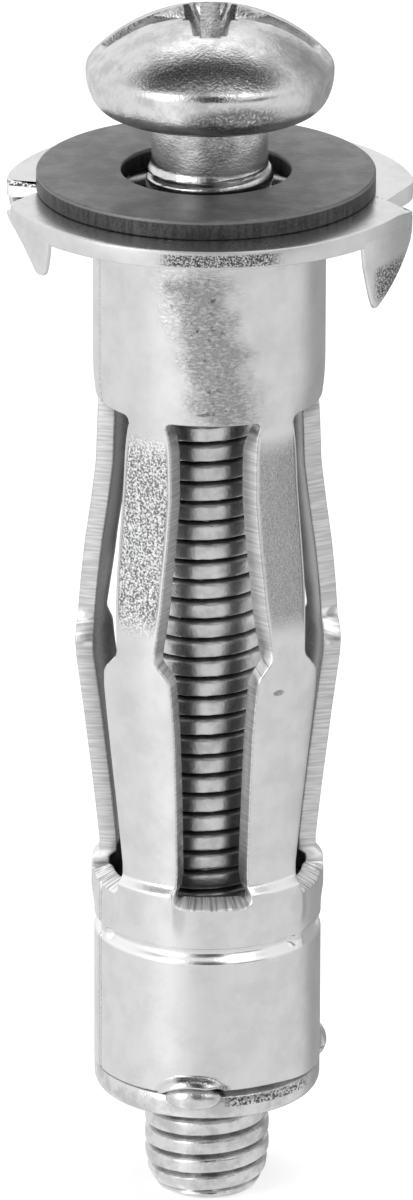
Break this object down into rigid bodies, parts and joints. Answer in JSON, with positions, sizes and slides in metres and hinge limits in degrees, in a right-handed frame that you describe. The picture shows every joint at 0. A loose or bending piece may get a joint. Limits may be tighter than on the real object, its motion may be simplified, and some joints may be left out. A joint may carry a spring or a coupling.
{
  "type": "hollow wall anchor",
  "caption": "Slotted metal sleeve with a toothed flange, a captive threaded nut, a washer and a pan head screw, for fixing things to hollow walls.",
  "frame": {"origin": "centre of the flange's underside, in the plane of the wall face, on the screw's axis", "axes": "+Z along the screw's axis from the cavity out to the room, towards the screw's head; -Y towards the window that faces the front"},
  "size_m": [0.0158, 0.0158, 0.0482],
  "materials": {
    "sleeve_zinc": "bright zinc plating",
    "nut_zinc": "bright zinc plating",
    "washer_dark": "dark matt oxide",
    "screw_zinc": "bright zinc plating"
  },
  "bodies": {
    "anchor": {"sleeve": "sleeve_zinc", "nut": "nut_zinc", "washer": "washer_dark"},
    "screw": {"screw": "screw_zinc"}
  },
  "joints": [
    {"name": "screw_turn", "type": "hinge", "parent": "anchor", "child": "screw", "pos_m": [0, 0, 0], "axis": [0, 0, 1], "range_deg": [-1170, 1950]}
  ]
}
